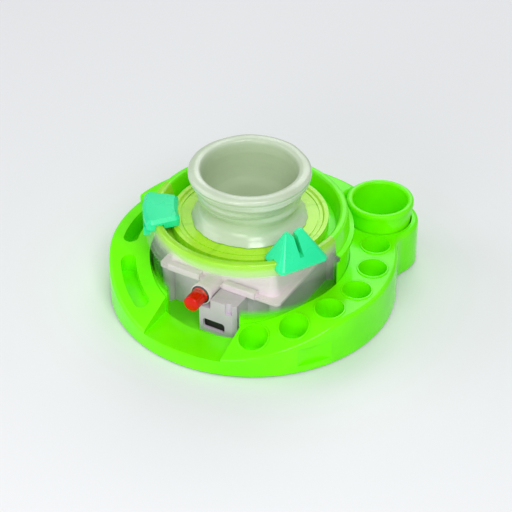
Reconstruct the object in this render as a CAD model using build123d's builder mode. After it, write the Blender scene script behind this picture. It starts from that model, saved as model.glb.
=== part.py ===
"""Toy pottery wheel: a lime tray with paint wells, a splash housing, a turning wheel head with a clay pot,
and a battery drive unit with a push button at the front.

Millimetres, +Z up. The front, with the button, faces -Y.
The origin is on the floor, midway in length and width.
"""

import os
from math import cos, degrees, hypot, radians, sin, sqrt

from build123d import *

os.makedirs("parts", exist_ok=True)

# Tray: a round pan with a lobe for the water cup, flat behind and falling towards the front
deck_width = 32.96
tray_wall = 2.4
tray_edge_round = 3.0
tray_foot_z = 1.5
deck_z = 36.0
nose_z = 13.0
deck_bend = 60.0
slope_start = 38.0
lobe_radius = 29.0
lobe_overhang = 5.0
lobe_blend = 18.0
wheel_forward = 5.0
shoulder_height = 6.0
shoulder_start = 72.0
shoulder_end = 174.0

# Paint wells along the right edge
well_count = 6
well_inset = 16.0
well_first_angle = 32.0
well_pitch_angle = 18.4
well_radius = 10.4
well_taper = 2.2
well_depth = 14.0
well_wall = 1.2
lip_height = 0.9
lip_round = 0.5

# Tool slots along the left edge
slot_inset = 15.5
slot_width = 11.0
slot_depth = 17.0
slot_arcs = ((180.0, 200.0), (215.0, 239.0))

# Front bay, where a finger reaches the button, and the scoop in the side wall
bay_width = 63.0
scoop_angle = -36.0
scoop_radius = 42.0
scoop_depth = 3.0
scoop_low_z = 7.0
scoop_high_z = 22.0

# Bottom plate, its feet and screws
plate_thickness = 2.5
plate_gap = 0.3
foot_radius = 9.0
foot_sink = 1.5
foot_inset = 18.0
foot_count = 4
post_radius = 3.6
post_inset = 7.0
post_depth = 14.0
post_between_wells = (1.5, 4.5)
rear_post_angles = (100.0, 150.0, 207.5)
screw_radius = 1.4
screw_head_radius = 2.8
screw_head_height = 1.6
screw_hole_gap = 0.3
screw_slot_width = 0.7
foot_chamfer = 0.6

# Housing: outer skirt, lower ring, rim and the basin inside it
housing_wall = 2.4
unit_clearance = 4.35
tray_to_skirt_gap = 0.3
ring_reach = 2.5
ring_z = 57.0
ring_height = 3.0
rim_step = 2.5
rim_width = 5.0
rim_round = 1.8
upper_wall_step = 0.6
rim_z = 75.5
basin_step = 11.0
basin_floor_z = 62.4
collar_radius = 14.0
collar_height = 2.6
cover_half_angle = 88.0
door_width = 60.0
door_top_z = 46.5
housing_boss_angles = (20.0, 160.0, 200.0, 340.0)
housing_boss_height = 14.0
housing_boss_bite = 0.5
ring_ease = 1.0

# Wheel head and clay pot
wheel_gap = 5.04
wheel_top_z = 69.0
wheel_thickness = 3.0
wheel_lip_width = 3.0
wheel_lip_height = 1.2
wheel_skirt = 2.6
groove_radii = (50.0,)
groove_width = 1.2
groove_depth = 0.7
rib_count = 8
rib_thickness = 1.8
rib_height = 2.4
rib_start = 16.0
hub_radius = 9.0
hub_bottom_z = 57.6
pot_lift_gap = 0.3
pot_height = 42.0
pot_rim_radius = 45.0
pot_waist_radius = 35.2
pot_foot_radius = 42.5
pot_foot_height = 3.0
pot_foot_draw = 1.0
pot_waist_z = 11.5
pot_lip_z = 33.0
pot_lip_radius = 43.4
pot_mouth_radius = 35.0
pot_hollow_radius = 29.0
pot_belly_z = 15.5
pot_floor = 8.0
pot_floor_draw = 6.0
pot_lip_fall_out = 2.0
pot_lip_fall_in = 4.0

# Hand rest and tool guide, which clip over the rim
clip_gap = 0.3
clip_angles = {"hand_rest": 214.0, "tool_guide": 330.0}
clip_inset = 6.0
clip_length = 39.0
clip_depth = 25.0
clip_base_z = 72.4
clip_leg_z = 66.0
clip_leg_thickness = 5.0
clip_corner = 4.0
rest_height = 7.5
rest_half_angle = 16.0
rest_bevel = 2.5
guide_height = 20.0
guide_eaves_z = 70.5
guide_plinth = 2.0
guide_ridge_length = 14.0
guide_ridge_depth = 2.5
guide_ridge_set_back = 4.0
guide_slot_width = 3.0
guide_slot_depth = 15.0
guide_notch_width = 8.0
guide_notch_depth = 5.0

# Water cup
cup_inset = 44.0
cup_rim_radius = 25.0
cup_body_radius = 23.8
cup_foot_radius = 22.4
cup_top_z = 53.0
cup_wall = 2.4
cup_bead = 4.0
cup_bead_width = 4.6
cup_lip_round = 1.8
socket_gap = 0.3
socket_depth = 18.0

# Drive unit: tub, lid with flange, boss, button tube
motor_bay = 32.3
unit_end_room = 8.4
unit_corner = 7.0
unit_wall = 2.2
flange_z = 34.0
flange_thickness = 2.2
flange_reach = 5.0
flange_corner = 4.0
lid_top_z = 54.0
lid_draft = 10.0
lid_round = 2.5
clip_bar_length = 26.0
clip_bar_half = 2.8
clip_bar_offset = 23.0
clip_bar_round = 1.0
ear_inset = 5.5
ear_post_radius = 4.8
boss_width = 30.0
boss_left = -6.0
boss_low_width = 9.5
boss_to_tube_gap = 1.4
boss_reach = 21.0
boss_chamfer = 2.5
window_width = 18.0
window_height = 8.4
window_low = 3.2
liner_depth = 4.0
liner_thickness = 2.0
liner_margin = 0.6
window_corner = 2.5
window_left = 3.0
channel_radius = 3.0
tube_x = -5.0
tube_radius = 7.2
tube_length = 20.0
tube_inside = 1.0
tube_collar_radius = 8.0
tube_collar_length = 2.5
button_radius = 5.9
button_gap = 0.08
button_out = 14.5
button_travel = 3.0
button_ring_radius = 7.0
button_ring_length = 2.0
button_dome = 1.5
switch_width = 12.0
switch_depth = 9.0
switch_height = 8.0
switch_gap = 0.5

# Drive train, all axles upright
gear_module = 0.8
pinion_teeth = 10
gear_teeth = 48
mesh_gap = 0.3
tooth_height = 0.85
tooth_root = 1.15
tooth_foot = 0.85
tooth_point = 0.3
idler_angle = 35.0
motor_angle = -75.0
gear_plate_z = 31.4
gear_plate_thickness = 2.4
low_gear_z = 35.2
low_gear_height = 4.0
high_gear_z = 40.4
high_gear_height = 5.5
idler_top_z = 47.5
idler_pin_radius = 1.5
idler_pin_over = 1.0
shaft_gap = 0.04
motor_radius = 12.0
motor_length = 25.0
motor_flat_width = 18.4
motor_boss_radius = 3.0
motor_shaft_radius = 1.0
spindle_radius = 3.0
bush_wall = 2.0
bush_flange = 1.5
bush_flange_height = 1.0

# Cells and battery door
cell_radius = 7.25
cell_length = 49.2
cell_nub_radius = 2.7
cell_nub_length = 1.3
cell_pitch = 15.2
cell_count = 4
bank_gap = 0.25
cell_gap = 0.6
contact_thickness = 0.8
contact_width = 10.0
door_thickness = 2.2
door_margin = 2.5
door_tab_radius = 6.0
door_tab_out = 5.0
door_gap = 0.4
door_boss_height = 6.0

# Sizes and places worked out from the ones above: the cells set the drive unit, which sets the housing,
# and the housing sets the wheel head and the tray
bank_length = cell_length + cell_nub_length + 2 * (contact_thickness + cell_gap)
bank_width = cell_pitch * cell_count
unit_width = bank_length + motor_bay + 2 * unit_wall
unit_depth = bank_width + 2 * (unit_end_room + unit_wall)
cell_x = unit_wall + bank_gap + (bank_length - unit_width) / 2
flange_corner_x = unit_width / 2 + flange_reach - flange_corner
flange_corner_y = unit_depth / 2 + flange_reach - flange_corner
skirt_radius = hypot(flange_corner_x, flange_corner_y) + flange_corner + unit_clearance + housing_wall
ring_radius = skirt_radius + ring_reach
upper_wall_radius = skirt_radius - upper_wall_step
rim_radius = skirt_radius - rim_step
basin_floor_radius = skirt_radius - basin_step
wheel_radius = basin_floor_radius - wheel_gap
tray_radius = skirt_radius + deck_width
clip_mid_radius = rim_radius - clip_inset
well_ring_radius = tray_radius - well_inset
slot_ring_radius = tray_radius - slot_inset
foot_ring_radius = tray_radius - foot_inset
post_ring_radius = tray_radius - post_inset
cup_x = tray_radius - cup_inset
tray_y = -lobe_overhang / 2
wheel_y = tray_y - wheel_forward
cup_y = tray_y + tray_radius + lobe_overhang - lobe_radius
slope_y = wheel_y - slope_start
nose_y = tray_y - tray_radius
slope = (deck_z - nose_z) / (slope_y - nose_y)
reach = tray_radius + lobe_radius
shoulder_z = deck_z + shoulder_height
open_radius = skirt_radius + tray_to_skirt_gap
plate_top_z = tray_foot_z + plate_thickness
unit_z = plate_top_z
unit_front = unit_depth / 2
wheel_axis = Axis((0, wheel_y, 0), (0, 0, 1))
UP = (Align.CENTER, Align.CENTER, Align.MIN)


def over_tray(z):
    """Level plane at height z, centred on the tray."""
    return Plane((0, tray_y, z))


def over_wheel(z):
    """Level plane at height z, centred on the wheel's axis."""
    return Plane((0, wheel_y, z))


def beside_wheel(angle=0.0):
    """Upright plane through the wheel's axis: local x is the radius at that angle, local y is the height."""
    turn = radians(angle)
    return Plane((0, wheel_y, 0), x_dir=(cos(turn), sin(turn), 0), z_dir=(sin(turn), -cos(turn), 0))


def polar(radius, angle, y=0.0):
    """Point at a radius and angle around (0, y)."""
    return (radius * cos(radians(angle)), y + radius * sin(radians(angle)))


def deck_height(y):
    """Height of the tray's top surface at depth y."""
    return deck_z - max(0.0, slope_y - y) * slope


def tray_outline(inset=0.0, z=0.0):
    """Plan of the tray at height z, drawn in by inset: a circle, the cup's lobe and two blending arcs."""
    tray_middle = Vector(0, tray_y)
    lobe_middle = Vector(cup_x, cup_y)
    along = (lobe_middle - tray_middle).normalized()
    across = Vector(-along.Y, along.X)
    spread = (lobe_middle - tray_middle).length
    to_tray = tray_radius + lobe_blend
    to_lobe = lobe_radius + lobe_blend
    foot = (to_tray**2 - to_lobe**2 + spread**2) / (2 * spread)
    with BuildSketch(Plane.XY.offset(z)) as outline:
        with BuildLine():
            ends = []
            for side in (-1, 1):
                blend_middle = tray_middle + along * foot + across * side * sqrt(to_tray**2 - foot**2)
                tray_way = (tray_middle - blend_middle).normalized()
                lobe_way = (lobe_middle - blend_middle).normalized()
                blend = lobe_blend + inset
                ends.append((blend_middle + tray_way * blend, blend_middle + lobe_way * blend))
                blend_way = (tray_way + lobe_way).normalized()
                ThreePointArc(ends[-1][0], blend_middle + blend_way * blend, ends[-1][1])
            (tray_start, lobe_start), (tray_end, lobe_end) = ends
            ThreePointArc(tray_start, tray_middle - along * (tray_radius - inset), tray_end)
            ThreePointArc(lobe_start, lobe_middle + along * (lobe_radius - inset), lobe_end)
        make_face()
    return outline.sketch


def shoulder_outline(z, inset=0.0):
    """Plan of the raised rear deck at height z, drawn in by inset: the sector behind the housing."""
    with BuildSketch(Plane.XY.offset(z)) as outline:
        with Locations((0, tray_y)):
            Circle(tray_radius - inset)
        turn = degrees(inset / open_radius)
        start = shoulder_start + turn
        end = shoulder_end - turn
        far_spots = [polar(2 * reach, angle, tray_y) for angle in (start, (start + end) / 2, end)]
        with BuildLine():
            Polyline((0, tray_y), *far_spots, close=True)
        make_face(mode=Mode.INTERSECT)
    return outline.sketch


def side_view(lift=0.0):
    """Side outline of the tray, moved up by lift: level at the back, falling to the nose."""
    low = deck_height(-reach) + lift
    with BuildSketch(Plane.YZ) as view:
        with BuildLine():
            top = FilletPolyline(
                (reach, deck_z + lift), (slope_y, deck_z + lift), (-reach, low), radius=deck_bend
            )
            Polyline(top @ 1, (-reach, -reach), (reach, -reach), top @ 0)
        make_face()
    return view.sketch


def keep(piece, name):
    """Label a finished piece and write it out under its name."""
    piece.part.label = name
    export_step(piece.part, f"parts/{name}.step")


well_spots = [
    polar(well_ring_radius, well_first_angle - well_pitch_angle * place, tray_y)
    for place in range(well_count)
]
post_spots = [
    polar(post_ring_radius, well_first_angle - well_pitch_angle * place, tray_y)
    for place in post_between_wells
]
post_spots += [polar(slot_ring_radius, angle, tray_y) for angle in rear_post_angles]
scoop_spot = polar(tray_radius - scoop_depth + scoop_radius, scoop_angle, tray_y)
housing_boss_spots = [
    polar(skirt_radius - housing_wall - post_radius + housing_boss_bite, angle, wheel_y)
    for angle in housing_boss_angles
]
ear_spots = [
    (x * (unit_width / 2 + flange_reach - ear_inset), wheel_y + y * (unit_front + flange_reach - ear_inset))
    for x in (-1, 1) for y in (-1, 1)
]
foot_spots = [polar(foot_ring_radius, 45 + 360 / foot_count * i, tray_y) for i in range(foot_count)]
socket_floor_z = deck_z - socket_depth
socket_radius = cup_body_radius + socket_gap

# Hollow under the tray's top, with the jackets of wells, slots, socket, bay and posts left standing
with BuildPart() as tray_hollow:
    extrude(tray_outline(tray_wall), amount=deck_z)
    extrude(side_view(-tray_wall), amount=reach, both=True, mode=Mode.INTERSECT)
    extrude(shoulder_outline(plate_top_z, tray_wall), amount=shoulder_z - tray_wall - plate_top_z)
    for x, y in well_spots:
        with Locations((x, y, deck_height(y) - well_depth - well_wall)):
            Cylinder(well_radius + well_wall, deck_z, align=UP, mode=Mode.SUBTRACT)
    with BuildSketch(over_tray(deck_z)):
        for start, end in slot_arcs:
            slot_line = CenterArc((0, 0), slot_ring_radius, start, end - start)
            SlotArc(slot_line, slot_width + 2 * tray_wall)
    extrude(amount=-slot_depth - tray_wall, mode=Mode.SUBTRACT)
    with Locations((cup_x, cup_y, socket_floor_z - tray_wall)):
        Cylinder(socket_radius + tray_wall, deck_z, align=UP, mode=Mode.SUBTRACT)
    with Locations((0, wheel_y, plate_top_z)):
        Cylinder(open_radius + tray_wall, deck_z, align=UP, mode=Mode.SUBTRACT)
    with Locations((0, wheel_y - reach / 2, nose_z - tray_wall)):
        Box(bay_width + 2 * tray_wall, reach, deck_z, align=UP, mode=Mode.SUBTRACT)
    for x, y in post_spots:
        with Locations((x, y, plate_top_z)):
            Cylinder(post_radius, deck_z, align=UP, mode=Mode.SUBTRACT)
    with Locations((*scoop_spot, scoop_low_z - tray_wall)):
        Cylinder(
            scoop_radius + tray_wall, scoop_high_z - scoop_low_z + 2 * tray_wall, align=UP,
            mode=Mode.SUBTRACT,
        )

# Raised lips round the wells, which follow the fall of the deck
with BuildPart() as well_lips:
    for x, y in well_spots:
        with Locations((x, y, deck_height(y) - well_depth)):
            Cylinder(well_radius + well_wall, 2 * deck_z, align=UP)
    extrude(side_view(lip_height), amount=reach, both=True, mode=Mode.INTERSECT)
    round_edges = well_lips.edges().filter_by(GeomType.LINE, reverse=True)
    lip_edges = round_edges.filter_by(
        lambda edge: edge.center().Z > deck_height(edge.center().Y) - well_depth / 2
    )
    fillet(lip_edges, lip_round)

# Raised rear deck, behind the housing and the cup
with BuildPart() as shoulder:
    extrude(shoulder_outline(plate_top_z), amount=shoulder_z - plate_top_z)
    fillet(shoulder.edges().group_by(Axis.Z)[-1], tray_edge_round)

# Tray: one thin moulding, open underneath
with BuildPart() as base_tray:
    extrude(tray_outline(z=tray_foot_z), amount=2 * deck_z)
    extrude(side_view(), amount=reach, both=True, mode=Mode.INTERSECT)
    upper_edges = base_tray.edges().filter_by(lambda edge: edge.center().Z > nose_z / 2)
    fillet(upper_edges.filter_by(Axis.Z, reverse=True).filter_by(Axis.X, reverse=True), tray_edge_round)
    add(shoulder.part)
    add(well_lips.part)
    add(tray_hollow.part, mode=Mode.SUBTRACT)
    for x, y in well_spots:
        with Locations((x, y, deck_height(y) - well_depth)):
            Cone(well_radius - well_taper, well_radius, well_depth, align=UP, mode=Mode.SUBTRACT)
        with Locations((x, y, deck_height(y))):
            Cylinder(well_radius, deck_z, align=UP, mode=Mode.SUBTRACT)
    with BuildSketch(over_tray(deck_z)):
        for start, end in slot_arcs:
            slot_line = CenterArc((0, 0), slot_ring_radius, start, end - start)
            SlotArc(slot_line, slot_width)
    extrude(amount=-slot_depth, mode=Mode.SUBTRACT)
    with Locations((cup_x, cup_y, socket_floor_z)):
        Cylinder(socket_radius, deck_z, align=UP, mode=Mode.SUBTRACT)
    with Locations((0, wheel_y)):
        Cylinder(open_radius, 4 * deck_z, mode=Mode.SUBTRACT)
    with Locations((0, wheel_y - reach / 2, nose_z)):
        Box(bay_width, reach, deck_z, align=UP, mode=Mode.SUBTRACT)
    with Locations(*[(x, y, 0) for x, y in post_spots]):
        Cylinder(screw_radius, plate_top_z + post_depth, align=UP, mode=Mode.SUBTRACT)
    with Locations((*scoop_spot, scoop_low_z)):
        Cylinder(scoop_radius, scoop_high_z - scoop_low_z, align=UP, mode=Mode.SUBTRACT)
keep(base_tray, "base_tray")

# Bottom plate: closes the tray, carries the drive unit and opens for the battery door
pillar_spots = [
    (x * (unit_width / 2 - unit_wall - post_radius), wheel_y + y * (unit_front - unit_wall - post_radius))
    for x in (-1, 1) for y in (-1, 1)
]
door_screw_y = wheel_y + bank_width / 2 + door_tab_out


def door_outline(z, grow=0.0):
    """Plan of the battery door at height z, grown by grow: a rectangle with a round tab for its screw."""
    with BuildSketch(Plane.XY.offset(z)) as outline:
        with Locations((cell_x, wheel_y)):
            Rectangle(bank_length + 2 * (door_margin + grow), bank_width + 2 * (door_margin + grow))
        with Locations((cell_x, door_screw_y)):
            Circle(door_tab_radius + grow)
    return outline.sketch


with BuildPart() as bottom_plate:
    extrude(tray_outline(tray_wall + plate_gap, tray_foot_z), amount=plate_thickness)
    extrude(door_outline(tray_foot_z, door_gap), amount=plate_thickness, mode=Mode.SUBTRACT)
    with Locations(*[(x, y, tray_foot_z) for x, y in foot_spots]):
        Cylinder(foot_radius, foot_sink, align=UP, mode=Mode.SUBTRACT)
    with Locations(*[(x, y, tray_foot_z) for x, y in post_spots + housing_boss_spots + ear_spots]):
        Cylinder(screw_radius + screw_hole_gap, plate_thickness, align=UP, mode=Mode.SUBTRACT)
        Cylinder(screw_head_radius + screw_hole_gap, screw_head_height, align=UP, mode=Mode.SUBTRACT)
keep(bottom_plate, "bottom_plate")


def screws(name, spots, seat_z, length):
    """A group of pan-head screws driven upwards at the spots, their heads seated at seat_z."""
    with BuildPart() as group:
        with Locations(*[(x, y, seat_z) for x, y in spots]):
            Cylinder(screw_radius, length, align=UP)
        with Locations(*[(x, y, seat_z - screw_head_height) for x, y in spots]):
            Cylinder(screw_head_radius, screw_head_height, align=UP)
            Box(2 * screw_radius, screw_slot_width, screw_head_height, mode=Mode.SUBTRACT)
            Box(screw_slot_width, 2 * screw_radius, screw_head_height, mode=Mode.SUBTRACT)
    keep(group, name)


plate_screw_seat = tray_foot_z + screw_head_height
screws("plate_screws", post_spots, plate_screw_seat, post_depth)
housing_screw_length = housing_boss_height - plate_thickness
screws("housing_screws", housing_boss_spots, plate_screw_seat, housing_screw_length)
screws("unit_screws", ear_spots, plate_screw_seat, housing_screw_length)
screws("door_screw", [(cell_x, door_screw_y)], plate_screw_seat, unit_wall + door_boss_height)

# Feet: rubber pads set into the plate
with BuildPart() as feet:
    with BuildSketch():
        with Locations(*foot_spots):
            Circle(foot_radius)
    extrude(amount=tray_foot_z + foot_sink)
    chamfer(feet.edges().group_by(Axis.Z)[0], foot_chamfer)
keep(feet, "rubber_feet")

# Housing section: skirt, lower ring, wall up to the rim, and the basin hanging inside it
ring_top_z = ring_z + ring_height
rim_inner_radius = rim_radius - rim_width
basin_lean = (rim_inner_radius - basin_floor_radius) / (rim_z - basin_floor_z)
crotch_z = rim_z - housing_wall - rim_round / 2
crotch_radius = basin_floor_radius + housing_wall + basin_lean * (crotch_z - basin_floor_z)


def housing_section(angle):
    """Cut through the housing wall at an angle round the wheel."""
    with BuildSketch(beside_wheel(angle)) as section:
        with BuildLine():
            Polyline(
                (skirt_radius, unit_z),
                (skirt_radius, ring_z - (ring_radius - skirt_radius)),
                (ring_radius, ring_z),
                (ring_radius, ring_top_z),
                (upper_wall_radius, ring_top_z + ring_ease),
                (rim_radius, rim_z),
                (rim_inner_radius, rim_z),
                (basin_floor_radius, basin_floor_z),
                (collar_radius, basin_floor_z),
                (collar_radius, basin_floor_z + collar_height),
                (collar_radius - housing_wall, basin_floor_z + collar_height),
                (collar_radius - housing_wall, basin_floor_z - housing_wall),
                (basin_floor_radius + housing_wall * (1 - basin_lean), basin_floor_z - housing_wall),
                (crotch_radius, crotch_z),
                (upper_wall_radius - housing_wall, ring_top_z + ring_ease),
                (ring_radius - housing_wall, ring_top_z - ring_ease),
                (ring_radius - housing_wall, ring_z + ring_ease),
                (skirt_radius - housing_wall, ring_z - (ring_radius - skirt_radius)),
                (skirt_radius - housing_wall, unit_z),
                close=True,
            )
        make_face()
        fillet(section.vertices().sort_by(Axis.Y)[-2:], rim_round)
    return section.sketch


def housing_part(name, start, sweep, boss_spots, door):
    """A sector of the housing with its screw bosses, and the front door where asked."""
    with BuildPart() as sector:
        revolve(housing_section(start), axis=wheel_axis, revolution_arc=sweep)
        with Locations(*[(x, y, unit_z) for x, y in boss_spots]):
            Cylinder(post_radius, housing_boss_height, align=UP)
            Cylinder(screw_radius, housing_boss_height, align=UP, mode=Mode.SUBTRACT)
        if door:
            with Locations((0, wheel_y - skirt_radius, unit_z)):
                Box(door_width, skirt_radius, door_top_z - unit_z, align=UP, mode=Mode.SUBTRACT)
    keep(sector, name)


front_start = 270 - cover_half_angle
housing_part("rear_housing", front_start - 360 + 2 * cover_half_angle, 360 - 2 * cover_half_angle,
             housing_boss_spots[:2], door=False)
housing_part("front_cover", front_start, 2 * cover_half_angle, housing_boss_spots[2:], door=True)

# Wheel head: grooved disc with a raised edge, ribs and a hub underneath
wheel_under_z = wheel_top_z - wheel_thickness
with BuildPart() as wheel_head:
    with BuildSketch(beside_wheel()):
        with BuildLine():
            Polyline(
                (0, wheel_top_z),
                (wheel_radius - wheel_lip_width - wheel_lip_height, wheel_top_z),
                (wheel_radius - wheel_lip_width, wheel_top_z + wheel_lip_height),
                (wheel_radius, wheel_top_z + wheel_lip_height),
                (wheel_radius, wheel_under_z - wheel_skirt),
                (wheel_radius - wheel_thickness, wheel_under_z - wheel_skirt),
                (wheel_radius - wheel_thickness, wheel_under_z),
                (hub_radius, wheel_under_z),
                (hub_radius, hub_bottom_z),
                (0, hub_bottom_z),
                close=True,
            )
        make_face()
    revolve(axis=wheel_axis)
    with BuildSketch(over_wheel(wheel_top_z)):
        for radius in groove_radii:
            Circle(radius + groove_width / 2)
            Circle(radius - groove_width / 2, mode=Mode.SUBTRACT)
    extrude(amount=-groove_depth, mode=Mode.SUBTRACT)
    with BuildSketch(over_wheel(wheel_under_z)):
        with PolarLocations((rib_start + wheel_radius - wheel_thickness) / 2, rib_count):
            Rectangle(wheel_radius - wheel_thickness - rib_start, rib_thickness)
    extrude(amount=-rib_height)
    with Locations((0, wheel_y, hub_bottom_z)):
        Cylinder(spindle_radius, wheel_under_z - hub_bottom_z, align=UP, mode=Mode.SUBTRACT)
keep(wheel_head, "wheel_head")

# Clay pot: thrown on the wheel, with a drawn-in waist and a thick rounded lip
pot_z = wheel_top_z + pot_lift_gap
with BuildPart() as clay_pot:
    with BuildSketch(beside_wheel()):
        with BuildLine():
            outer = Spline(
                (pot_foot_radius, pot_z),
                (pot_foot_radius - pot_foot_draw, pot_z + pot_foot_height),
                (pot_waist_radius, pot_z + pot_waist_z),
                (pot_lip_radius, pot_z + pot_lip_z),
                (pot_rim_radius, pot_z + pot_height - pot_lip_fall_out),
            )
            lip = ThreePointArc(
                outer @ 1,
                ((pot_rim_radius + pot_mouth_radius) / 2, pot_z + pot_height),
                (pot_mouth_radius, pot_z + pot_height - pot_lip_fall_in),
            )
            inner = Spline(
                lip @ 1,
                (pot_hollow_radius, pot_z + pot_belly_z),
                (pot_hollow_radius - pot_floor_draw, pot_z + pot_floor),
            )
            Polyline(inner @ 1, (0, pot_z + pot_floor), (0, pot_z), outer @ 0)
        make_face()
    revolve(axis=wheel_axis)
keep(clay_pot, "clay_pot")

# Room for the rim inside the pieces that clip over it
with BuildPart() as rim_room:
    with BuildSketch(beside_wheel()):
        with BuildLine():
            Polyline(
                (upper_wall_radius + clip_gap, ring_top_z),
                (rim_radius + clip_gap, rim_z + clip_gap),
                (rim_inner_radius - clip_gap, rim_z + clip_gap),
                (basin_floor_radius - clip_gap, basin_floor_z),
                close=True,
            )
        make_face()
    revolve(axis=wheel_axis)


def clip_plane(name, z):
    """Level plane at the clipped piece: local x points out from the wheel, local y runs along the rim."""
    x, y = polar(clip_mid_radius, clip_angles[name], wheel_y)
    turn = radians(clip_angles[name])
    return Plane((x, y, z), x_dir=(cos(turn), sin(turn), 0), z_dir=(0, 0, 1))


clip_out = clip_depth / 2
leg_middle = clip_out - clip_leg_thickness / 2

# Hand rest: a pad that follows the rim, with bevelled edges
rest_start = clip_angles["hand_rest"] - rest_half_angle
with BuildPart() as hand_rest:
    with BuildSketch(over_wheel(clip_base_z)) as pad:
        with BuildLine():
            inner = CenterArc((0, 0), clip_mid_radius - clip_out, rest_start, 2 * rest_half_angle)
            outer = CenterArc((0, 0), clip_mid_radius + clip_out, rest_start, 2 * rest_half_angle)
            Line(inner @ 0, outer @ 0)
            Line(inner @ 1, outer @ 1)
        make_face()
        fillet(pad.vertices(), clip_corner)
    extrude(amount=rest_height)
    chamfer(hand_rest.edges().group_by(Axis.Z)[-1], rest_bevel)
    with BuildSketch(clip_plane("hand_rest", clip_base_z)):
        with Locations((leg_middle, 0)):
            Rectangle(clip_leg_thickness, clip_length - 2 * clip_corner)
    extrude(amount=clip_leg_z - clip_base_z)
    add(rim_room.part, mode=Mode.SUBTRACT)
keep(hand_rest, "hand_rest")

# Tool guide: a hipped block with a slot across its ridge that steadies a modelling tool
guide_top_z = clip_base_z + guide_height
with BuildPart() as tool_guide:
    with BuildSketch(clip_plane("tool_guide", guide_eaves_z)):
        RectangleRounded(clip_depth, clip_length, clip_corner)
    extrude(amount=guide_plinth)
    with BuildSketch(clip_plane("tool_guide", guide_eaves_z + guide_plinth)):
        RectangleRounded(clip_depth, clip_length, clip_corner)
    with BuildSketch(clip_plane("tool_guide", guide_top_z)):
        with Locations((-guide_ridge_set_back, 0)):
            RectangleRounded(guide_ridge_depth, guide_ridge_length, guide_ridge_depth / 3)
    loft()
    with Locations((0, wheel_y, 0)):
        Cylinder(rim_radius, clip_base_z, align=UP, mode=Mode.SUBTRACT)
    with BuildSketch(clip_plane("tool_guide", guide_top_z)):
        Rectangle(2 * clip_depth, guide_slot_width)
    extrude(amount=-guide_slot_depth, mode=Mode.SUBTRACT)
    notch_plane = clip_plane("tool_guide", guide_top_z)
    with BuildSketch(Plane(notch_plane.origin, x_dir=notch_plane.y_dir, z_dir=notch_plane.x_dir)):
        Polygon(
            (-guide_notch_width / 2, 0), (guide_notch_width / 2, 0), (0, -guide_notch_depth), align=None,
        )
    extrude(amount=clip_depth, both=True, mode=Mode.SUBTRACT)
    add(rim_room.part, mode=Mode.SUBTRACT)
keep(tool_guide, "tool_guide")

# Water cup: a tapered beaker with a thick bead, standing in the tray's socket
cup_z = socket_floor_z + socket_gap
with BuildPart() as water_cup:
    with BuildSketch(Plane((cup_x, cup_y, 0), x_dir=(1, 0, 0), z_dir=(0, -1, 0))) as cup_section:
        with BuildLine():
            Polyline(
                (0, cup_z),
                (cup_foot_radius, cup_z),
                (cup_body_radius, cup_top_z - cup_bead),
                (cup_rim_radius, cup_top_z - cup_bead),
                (cup_rim_radius, cup_top_z),
                (cup_rim_radius - cup_bead_width, cup_top_z),
                (cup_rim_radius - cup_bead_width, cup_top_z - cup_bead),
                (cup_foot_radius - cup_wall, cup_z + cup_wall),
                (0, cup_z + cup_wall),
                close=True,
            )
        make_face()
        fillet(cup_section.vertices().sort_by(Axis.Y)[-2:], cup_lip_round)
    revolve(axis=Axis((cup_x, cup_y, 0), (0, 0, 1)))
keep(water_cup, "water_cup")

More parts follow.
